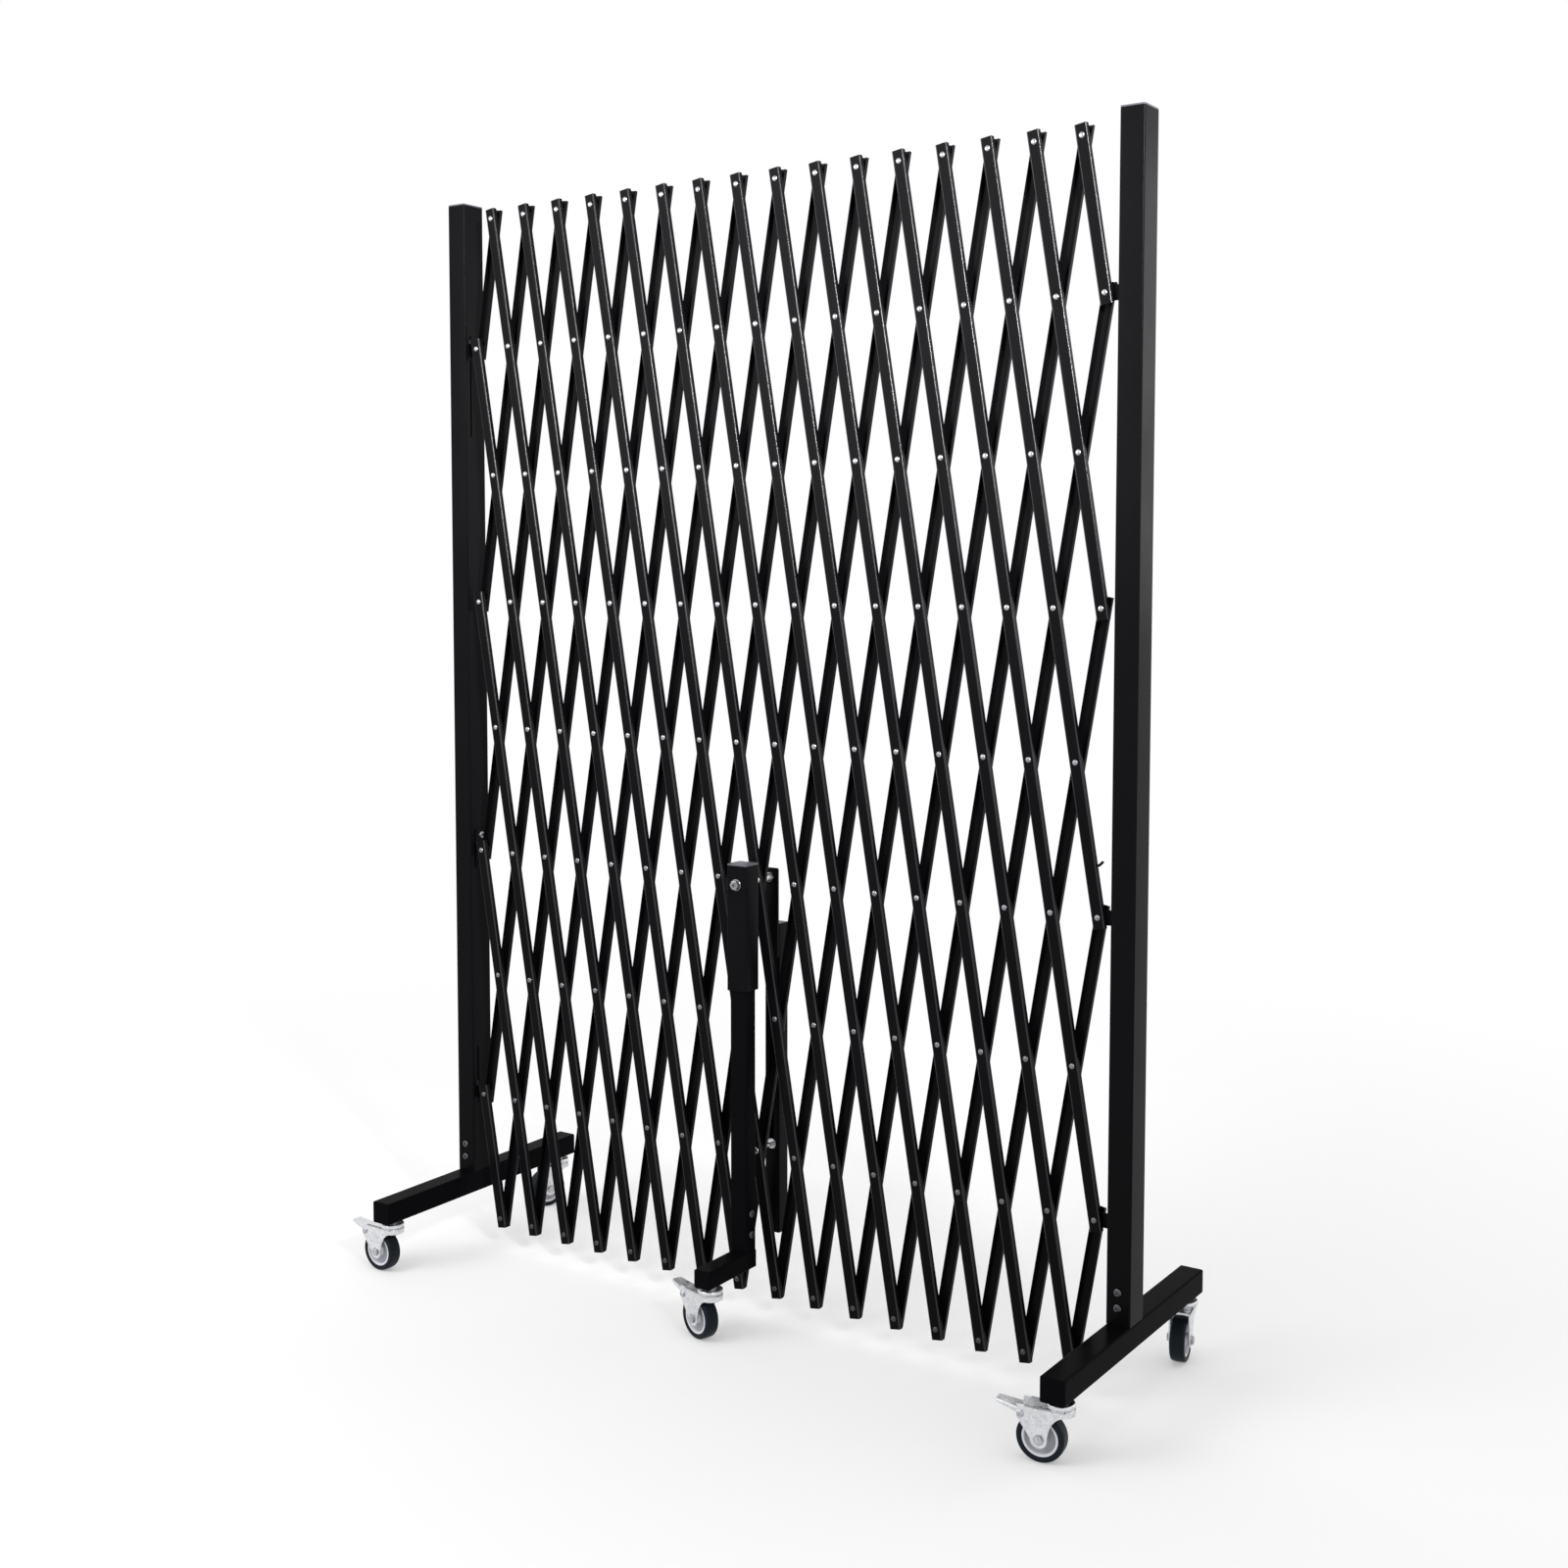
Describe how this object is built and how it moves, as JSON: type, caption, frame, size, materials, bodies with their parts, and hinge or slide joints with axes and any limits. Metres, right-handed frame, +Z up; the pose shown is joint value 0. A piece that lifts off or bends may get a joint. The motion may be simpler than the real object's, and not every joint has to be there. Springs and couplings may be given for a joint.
{
  "type": "expandable safety barrier",
  "caption": "Upright folding lattice barrier between two square posts on castered feet, with a castered centre leg.",
  "frame": {"origin": "on the floor, in the middle of the box that the standing barrier fills", "axes": "+X along the lattice to the right seen from the front, +Y to the rear, +Z up"},
  "size_m": [1.4839, 0.5452, 2.0062],
  "materials": {
    "front_bar": "satin black powder coat",
    "back_bar": "satin black powder coat",
    "stand": "satin black powder coat",
    "slider": "satin black powder coat",
    "caster_fork": "zinc plated",
    "caster_wheel": "smooth dark rubber",
    "brake_pedal": "zinc plated"
  },
  "bodies": {
    "centre_stand": {"centre_stand": "stand"},
    "back_bar_01": {"back_bar_01": "back_bar"},
    "back_bar_02": {"back_bar_02": "back_bar"},
    "back_bar_03": {"back_bar_03": "back_bar"},
    "back_bar_04": {"back_bar_04": "back_bar"},
    "back_bar_05": {"back_bar_05": "back_bar"},
    "back_bar_06": {"back_bar_06": "back_bar"},
    "back_bar_07": {"back_bar_07": "back_bar"},
    "back_bar_08": {"back_bar_08": "back_bar"},
    "back_bar_09": {"back_bar_09": "back_bar"},
    "back_bar_10": {"back_bar_10": "back_bar"},
    "back_bar_11": {"back_bar_11": "back_bar"},
    "back_bar_12": {"back_bar_12": "back_bar"},
    "back_bar_13": {"back_bar_13": "back_bar"},
    "back_bar_14": {"back_bar_14": "back_bar"},
    "back_bar_15": {"back_bar_15": "back_bar"},
    "back_bar_16": {"back_bar_16": "back_bar"},
    "back_bar_17": {"back_bar_17": "back_bar"},
    "back_bar_18": {"back_bar_18": "back_bar"},
    "back_bar_19": {"back_bar_19": "back_bar"},
    "back_bar_20": {"back_bar_20": "back_bar"},
    "front_bar_01": {"front_bar_01": "front_bar"},
    "front_bar_02": {"front_bar_02": "front_bar"},
    "front_bar_03": {"front_bar_03": "front_bar"},
    "front_bar_04": {"front_bar_04": "front_bar"},
    "front_bar_05": {"front_bar_05": "front_bar"},
    "front_bar_06": {"front_bar_06": "front_bar"},
    "front_bar_07": {"front_bar_07": "front_bar"},
    "front_bar_08": {"front_bar_08": "front_bar"},
    "front_bar_09": {"front_bar_09": "front_bar"},
    "front_bar_10": {"front_bar_10": "front_bar"},
    "front_bar_11": {"front_bar_11": "front_bar"},
    "front_bar_12": {"front_bar_12": "front_bar"},
    "front_bar_13": {"front_bar_13": "front_bar"},
    "front_bar_14": {"front_bar_14": "front_bar"},
    "front_bar_15": {"front_bar_15": "front_bar"},
    "front_bar_16": {"front_bar_16": "front_bar"},
    "front_bar_17": {"front_bar_17": "front_bar"},
    "front_bar_18": {"front_bar_18": "front_bar"},
    "front_bar_19": {"front_bar_19": "front_bar"},
    "front_bar_20": {"front_bar_20": "front_bar"},
    "left_stand": {"left_stand": "stand"},
    "left_upper_slider": {"left_upper_slider": "slider"},
    "left_lower_slider": {"left_lower_slider": "slider"},
    "right_stand": {"right_stand": "stand"},
    "right_upper_slider": {"right_upper_slider": "slider"},
    "right_lower_slider": {"right_lower_slider": "slider"},
    "left_front_fork": {"left_front_fork": "caster_fork"},
    "left_front_wheel": {"left_front_wheel": "caster_wheel"},
    "left_front_pedal": {"left_front_pedal": "brake_pedal"},
    "left_rear_fork": {"left_rear_fork": "caster_fork"},
    "left_rear_wheel": {"left_rear_wheel": "caster_wheel"},
    "right_front_fork": {"right_front_fork": "caster_fork"},
    "right_front_wheel": {"right_front_wheel": "caster_wheel"},
    "right_front_pedal": {"right_front_pedal": "brake_pedal"},
    "right_rear_fork": {"right_rear_fork": "caster_fork"},
    "right_rear_wheel": {"right_rear_wheel": "caster_wheel"},
    "centre_fork": {"centre_fork": "caster_fork"},
    "centre_wheel": {"centre_wheel": "caster_wheel"},
    "centre_pedal": {"centre_pedal": "brake_pedal"}
  },
  "joints": [
    {"name": "fold", "type": "hinge", "parent": "centre_stand", "child": "front_bar_10", "pos_m": [0.0385, -0.0221, 0.77626], "axis": [0, -1, 0], "range_deg": [-6.74, 24.16]},
    {"name": "back_bar_10_turn", "type": "hinge", "parent": "front_bar_10", "child": "back_bar_10", "pos_m": [-0.00124, -0.0221, 1.01527], "axis": [0, -1, 0], "range_deg": [-48.42, 13.58]},
    {"name": "back_bar_09_turn", "type": "hinge", "parent": "front_bar_10", "child": "back_bar_09", "pos_m": [-0.04098, -0.0221, 1.25429], "axis": [0, -1, 0], "range_deg": [-48.42, 13.58]},
    {"name": "back_bar_11_turn", "type": "hinge", "parent": "front_bar_10", "child": "back_bar_11", "pos_m": [0.0385, -0.0221, 0.77626], "axis": [0, -1, 0], "range_deg": [-48.42, 13.58]},
    {"name": "back_bar_08_turn", "type": "hinge", "parent": "front_bar_10", "child": "back_bar_08", "pos_m": [-0.08072, -0.0221, 1.49331], "axis": [0, -1, 0], "range_deg": [-48.42, 13.58]},
    {"name": "back_bar_12_turn", "type": "hinge", "parent": "front_bar_10", "child": "back_bar_12", "pos_m": [0.07824, -0.0221, 0.53724], "axis": [0, -1, 0], "range_deg": [-48.42, 13.58]},
    {"name": "back_bar_07_turn", "type": "hinge", "parent": "front_bar_10", "child": "back_bar_07", "pos_m": [-0.12046, -0.0221, 1.73233], "axis": [0, -1, 0], "range_deg": [-48.42, 13.58]},
    {"name": "back_bar_13_turn", "type": "hinge", "parent": "front_bar_10", "child": "back_bar_13", "pos_m": [0.11798, -0.0221, 0.29822], "axis": [0, -1, 0], "range_deg": [-48.42, 13.58]},
    {"name": "back_bar_06_turn", "type": "hinge", "parent": "front_bar_10", "child": "back_bar_06", "pos_m": [-0.1602, -0.0221, 1.97135], "axis": [0, -1, 0], "range_deg": [-48.42, 13.58]},
    {"name": "back_bar_14_turn", "type": "hinge", "parent": "front_bar_10", "child": "back_bar_14", "pos_m": [0.15772, -0.0221, 0.0592], "axis": [0, -1, 0], "range_deg": [-48.42, 13.58]},
    {"name": "front_bar_11_turn", "type": "hinge", "parent": "back_bar_10", "child": "front_bar_11", "pos_m": [0.0385, -0.0221, 1.25429], "axis": [0, -1, 0], "range_deg": [-13.58, 48.42]},
    {"name": "front_bar_09_turn", "type": "hinge", "parent": "back_bar_10", "child": "front_bar_09", "pos_m": [-0.04098, -0.0221, 0.77626], "axis": [0, -1, 0], "range_deg": [-13.58, 48.42]},
    {"name": "front_bar_12_turn", "type": "hinge", "parent": "back_bar_10", "child": "front_bar_12", "pos_m": [0.07824, -0.0221, 1.49331], "axis": [0, -1, 0], "range_deg": [-13.58, 48.42]},
    {"name": "front_bar_08_turn", "type": "hinge", "parent": "back_bar_10", "child": "front_bar_08", "pos_m": [-0.08072, -0.0221, 0.53724], "axis": [0, -1, 0], "range_deg": [-13.58, 48.42]},
    {"name": "front_bar_13_turn", "type": "hinge", "parent": "back_bar_10", "child": "front_bar_13", "pos_m": [0.11798, -0.0221, 1.73233], "axis": [0, -1, 0], "range_deg": [-13.58, 48.42]},
    {"name": "front_bar_07_turn", "type": "hinge", "parent": "back_bar_10", "child": "front_bar_07", "pos_m": [-0.12046, -0.0221, 0.29822], "axis": [0, -1, 0], "range_deg": [-13.58, 48.42]},
    {"name": "front_bar_14_turn", "type": "hinge", "parent": "back_bar_10", "child": "front_bar_14", "pos_m": [0.15772, -0.0221, 1.97135], "axis": [0, -1, 0], "range_deg": [-13.58, 48.42]},
    {"name": "front_bar_06_turn", "type": "hinge", "parent": "back_bar_10", "child": "front_bar_06", "pos_m": [-0.1602, -0.0221, 0.0592], "axis": [0, -1, 0], "range_deg": [-13.58, 48.42]},
    {"name": "front_bar_05_turn", "type": "hinge", "parent": "back_bar_09", "child": "front_bar_05", "pos_m": [-0.23969, -0.0221, 0.0592], "axis": [0, -1, 0], "range_deg": [-13.58, 48.42]},
    {"name": "front_bar_15_turn", "type": "hinge", "parent": "back_bar_11", "child": "front_bar_15", "pos_m": [0.2372, -0.0221, 1.97135], "axis": [0, -1, 0], "range_deg": [-13.58, 48.42]},
    {"name": "front_bar_04_turn", "type": "hinge", "parent": "back_bar_08", "child": "front_bar_04", "pos_m": [-0.31917, -0.0221, 0.0592], "axis": [0, -1, 0], "range_deg": [-13.58, 48.42]},
    {"name": "front_bar_16_turn", "type": "hinge", "parent": "back_bar_12", "child": "front_bar_16", "pos_m": [0.31668, -0.0221, 1.97135], "axis": [0, -1, 0], "range_deg": [-13.58, 48.42]},
    {"name": "front_bar_03_turn", "type": "hinge", "parent": "back_bar_07", "child": "front_bar_03", "pos_m": [-0.39865, -0.0221, 0.0592], "axis": [0, -1, 0], "range_deg": [-13.58, 48.42]},
    {"name": "front_bar_17_turn", "type": "hinge", "parent": "back_bar_13", "child": "front_bar_17", "pos_m": [0.39617, -0.0221, 1.97135], "axis": [0, -1, 0], "range_deg": [-13.58, 48.42]},
    {"name": "front_bar_02_turn", "type": "hinge", "parent": "back_bar_06", "child": "front_bar_02", "pos_m": [-0.47813, -0.0221, 0.0592], "axis": [0, -1, 0], "range_deg": [-13.58, 48.42]},
    {"name": "front_bar_18_turn", "type": "hinge", "parent": "back_bar_14", "child": "front_bar_18", "pos_m": [0.47565, -0.0221, 1.97135], "axis": [0, -1, 0], "range_deg": [-13.58, 48.42]},
    {"name": "back_bar_15_turn", "type": "hinge", "parent": "front_bar_11", "child": "back_bar_15", "pos_m": [0.2372, -0.0221, 0.0592], "axis": [0, -1, 0], "range_deg": [-48.42, 13.58]},
    {"name": "back_bar_05_turn", "type": "hinge", "parent": "front_bar_09", "child": "back_bar_05", "pos_m": [-0.23969, -0.0221, 1.97135], "axis": [0, -1, 0], "range_deg": [-48.42, 13.58]},
    {"name": "back_bar_16_turn", "type": "hinge", "parent": "front_bar_12", "child": "back_bar_16", "pos_m": [0.31668, -0.0221, 0.0592], "axis": [0, -1, 0], "range_deg": [-48.42, 13.58]},
    {"name": "back_bar_04_turn", "type": "hinge", "parent": "front_bar_08", "child": "back_bar_04", "pos_m": [-0.31917, -0.0221, 1.97135], "axis": [0, -1, 0], "range_deg": [-48.42, 13.58]},
    {"name": "back_bar_17_turn", "type": "hinge", "parent": "front_bar_13", "child": "back_bar_17", "pos_m": [0.39617, -0.0221, 0.0592], "axis": [0, -1, 0], "range_deg": [-48.42, 13.58]},
    {"name": "back_bar_03_turn", "type": "hinge", "parent": "front_bar_07", "child": "back_bar_03", "pos_m": [-0.39865, -0.0221, 1.97135], "axis": [0, -1, 0], "range_deg": [-48.42, 13.58]},
    {"name": "back_bar_18_turn", "type": "hinge", "parent": "front_bar_14", "child": "back_bar_18", "pos_m": [0.47565, -0.0221, 0.0592], "axis": [0, -1, 0], "range_deg": [-48.42, 13.58]},
    {"name": "back_bar_02_turn", "type": "hinge", "parent": "front_bar_06", "child": "back_bar_02", "pos_m": [-0.47813, -0.0221, 1.97135], "axis": [0, -1, 0], "range_deg": [-48.42, 13.58]},
    {"name": "back_bar_01_turn", "type": "hinge", "parent": "front_bar_05", "child": "back_bar_01", "pos_m": [-0.55761, -0.0221, 1.97135], "axis": [0, -1, 0], "range_deg": [-48.42, 13.58]},
    {"name": "back_bar_19_turn", "type": "hinge", "parent": "front_bar_15", "child": "back_bar_19", "pos_m": [0.55513, -0.0221, 0.0592], "axis": [0, -1, 0], "range_deg": [-48.42, 13.58]},
    {"name": "back_bar_20_turn", "type": "hinge", "parent": "front_bar_16", "child": "back_bar_20", "pos_m": [0.63461, -0.0221, 0.0592], "axis": [0, -1, 0], "range_deg": [-48.42, 13.58]},
    {"name": "front_bar_19_turn", "type": "hinge", "parent": "back_bar_15", "child": "front_bar_19", "pos_m": [0.55513, -0.0221, 1.97135], "axis": [0, -1, 0], "range_deg": [-13.58, 48.42]},
    {"name": "front_bar_01_turn", "type": "hinge", "parent": "back_bar_05", "child": "front_bar_01", "pos_m": [-0.55761, -0.0221, 0.0592], "axis": [0, -1, 0], "range_deg": [-13.58, 48.42]},
    {"name": "front_bar_20_turn", "type": "hinge", "parent": "back_bar_16", "child": "front_bar_20", "pos_m": [0.63461, -0.0221, 1.97135], "axis": [0, -1, 0], "range_deg": [-13.58, 48.42]},
    {"name": "left_stand_turn", "type": "hinge", "parent": "front_bar_02", "child": "left_stand", "pos_m": [-0.59735, -0.0221, 0.77626], "axis": [0, -1, 0], "range_deg": [-24.26, 6.84]},
    {"name": "left_upper_slider_turn", "type": "hinge", "parent": "front_bar_04", "child": "left_upper_slider", "pos_m": [-0.59735, -0.0221, 1.73233], "axis": [0, -1, 0], "range_deg": [-24.26, 6.84]},
    {"name": "left_lower_slider_turn", "type": "hinge", "parent": "front_bar_01", "child": "left_lower_slider", "pos_m": [-0.59735, -0.0221, 0.29822], "axis": [0, -1, 0], "range_deg": [-24.26, 6.84]},
    {"name": "right_stand_turn", "type": "hinge", "parent": "front_bar_18", "child": "right_stand", "pos_m": [0.67435, -0.0221, 0.77626], "axis": [0, -1, 0], "range_deg": [-24.26, 6.84]},
    {"name": "right_upper_slider_turn", "type": "hinge", "parent": "front_bar_20", "child": "right_upper_slider", "pos_m": [0.67435, -0.0221, 1.73233], "axis": [0, -1, 0], "range_deg": [-24.26, 6.84]},
    {"name": "right_lower_slider_turn", "type": "hinge", "parent": "front_bar_17", "child": "right_lower_slider", "pos_m": [0.67435, -0.0221, 0.29822], "axis": [0, -1, 0], "range_deg": [-24.26, 6.84]},
    {"name": "left_front_swivel", "type": "hinge", "parent": "left_stand", "child": "left_front_fork", "pos_m": [-0.64085, -0.2426, 0.09], "axis": [0, 0, 1], "continuous": true},
    {"name": "left_front_roll", "type": "hinge", "parent": "left_front_fork", "child": "left_front_wheel", "pos_m": [-0.66883, -0.24162, 0.0375], "axis": [0.0349, 0.9994, 0], "continuous": true},
    {"name": "left_front_brake", "type": "hinge", "parent": "left_front_fork", "child": "left_front_pedal", "pos_m": [-0.69682, -0.24065, 0.072], "axis": [-0.0349, -0.9994, 0], "range_deg": [0, 16]},
    {"name": "left_rear_swivel", "type": "hinge", "parent": "left_stand", "child": "left_rear_fork", "pos_m": [-0.64085, 0.2426, 0.09], "axis": [0, 0, 1], "continuous": true},
    {"name": "left_rear_roll", "type": "hinge", "parent": "left_rear_fork", "child": "left_rear_wheel", "pos_m": [-0.65043, 0.21629, 0.0375], "axis": [-0.9397, 0.342, 0], "continuous": true},
    {"name": "right_front_swivel", "type": "hinge", "parent": "right_stand", "child": "right_front_fork", "pos_m": [0.71785, -0.2426, 0.09], "axis": [0, 0, 1], "continuous": true},
    {"name": "right_front_roll", "type": "hinge", "parent": "right_front_fork", "child": "right_front_wheel", "pos_m": [0.69006, -0.24601, 0.0375], "axis": [-0.1219, 0.9925, 0], "continuous": true},
    {"name": "right_front_brake", "type": "hinge", "parent": "right_front_fork", "child": "right_front_pedal", "pos_m": [0.66227, -0.24943, 0.072], "axis": [0.1219, -0.9925, 0], "range_deg": [0, 16]},
    {"name": "right_rear_swivel", "type": "hinge", "parent": "right_stand", "child": "right_rear_fork", "pos_m": [0.71785, 0.2426, 0.09], "axis": [0, 0, 1], "continuous": true},
    {"name": "right_rear_roll", "type": "hinge", "parent": "right_rear_fork", "child": "right_rear_wheel", "pos_m": [0.72271, 0.21502, 0.0375], "axis": [-0.9848, -0.1736, 0], "continuous": true},
    {"name": "centre_swivel", "type": "hinge", "parent": "centre_stand", "child": "centre_fork", "pos_m": [0.0385, -0.1721, 0.09], "axis": [0, 0, 1], "continuous": true},
    {"name": "centre_roll", "type": "hinge", "parent": "centre_fork", "child": "centre_wheel", "pos_m": [0.01187, -0.16345, 0.0375], "axis": [0.309, 0.9511, 0], "continuous": true},
    {"name": "centre_brake", "type": "hinge", "parent": "centre_fork", "child": "centre_pedal", "pos_m": [-0.01476, -0.15479, 0.072], "axis": [-0.309, -0.9511, 0], "range_deg": [0, 16]}
  ],
  "couplings": [
    {"joint": "back_bar_10_turn", "follows": "fold", "ratio": -2},
    {"joint": "back_bar_09_turn", "follows": "fold", "ratio": -2},
    {"joint": "back_bar_11_turn", "follows": "fold", "ratio": -2},
    {"joint": "back_bar_08_turn", "follows": "fold", "ratio": -2},
    {"joint": "back_bar_12_turn", "follows": "fold", "ratio": -2},
    {"joint": "back_bar_07_turn", "follows": "fold", "ratio": -2},
    {"joint": "back_bar_13_turn", "follows": "fold", "ratio": -2},
    {"joint": "back_bar_06_turn", "follows": "fold", "ratio": -2},
    {"joint": "back_bar_14_turn", "follows": "fold", "ratio": -2},
    {"joint": "front_bar_11_turn", "follows": "fold", "ratio": 2},
    {"joint": "front_bar_09_turn", "follows": "fold", "ratio": 2},
    {"joint": "front_bar_12_turn", "follows": "fold", "ratio": 2},
    {"joint": "front_bar_08_turn", "follows": "fold", "ratio": 2},
    {"joint": "front_bar_13_turn", "follows": "fold", "ratio": 2},
    {"joint": "front_bar_07_turn", "follows": "fold", "ratio": 2},
    {"joint": "front_bar_14_turn", "follows": "fold", "ratio": 2},
    {"joint": "front_bar_06_turn", "follows": "fold", "ratio": 2},
    {"joint": "front_bar_05_turn", "follows": "fold", "ratio": 2},
    {"joint": "front_bar_15_turn", "follows": "fold", "ratio": 2},
    {"joint": "front_bar_04_turn", "follows": "fold", "ratio": 2},
    {"joint": "front_bar_16_turn", "follows": "fold", "ratio": 2},
    {"joint": "front_bar_03_turn", "follows": "fold", "ratio": 2},
    {"joint": "front_bar_17_turn", "follows": "fold", "ratio": 2},
    {"joint": "front_bar_02_turn", "follows": "fold", "ratio": 2},
    {"joint": "front_bar_18_turn", "follows": "fold", "ratio": 2},
    {"joint": "back_bar_15_turn", "follows": "fold", "ratio": -2},
    {"joint": "back_bar_05_turn", "follows": "fold", "ratio": -2},
    {"joint": "back_bar_16_turn", "follows": "fold", "ratio": -2},
    {"joint": "back_bar_04_turn", "follows": "fold", "ratio": -2},
    {"joint": "back_bar_17_turn", "follows": "fold", "ratio": -2},
    {"joint": "back_bar_03_turn", "follows": "fold", "ratio": -2},
    {"joint": "back_bar_18_turn", "follows": "fold", "ratio": -2},
    {"joint": "back_bar_02_turn", "follows": "fold", "ratio": -2},
    {"joint": "back_bar_01_turn", "follows": "fold", "ratio": -2},
    {"joint": "back_bar_19_turn", "follows": "fold", "ratio": -2},
    {"joint": "back_bar_20_turn", "follows": "fold", "ratio": -2},
    {"joint": "front_bar_19_turn", "follows": "fold", "ratio": 2},
    {"joint": "front_bar_01_turn", "follows": "fold", "ratio": 2},
    {"joint": "front_bar_20_turn", "follows": "fold", "ratio": 2},
    {"joint": "left_stand_turn", "follows": "fold", "ratio": -1},
    {"joint": "left_upper_slider_turn", "follows": "fold", "ratio": -1},
    {"joint": "left_lower_slider_turn", "follows": "fold", "ratio": -1},
    {"joint": "right_stand_turn", "follows": "fold", "ratio": -1},
    {"joint": "right_upper_slider_turn", "follows": "fold", "ratio": -1},
    {"joint": "right_lower_slider_turn", "follows": "fold", "ratio": -1}
  ]
}
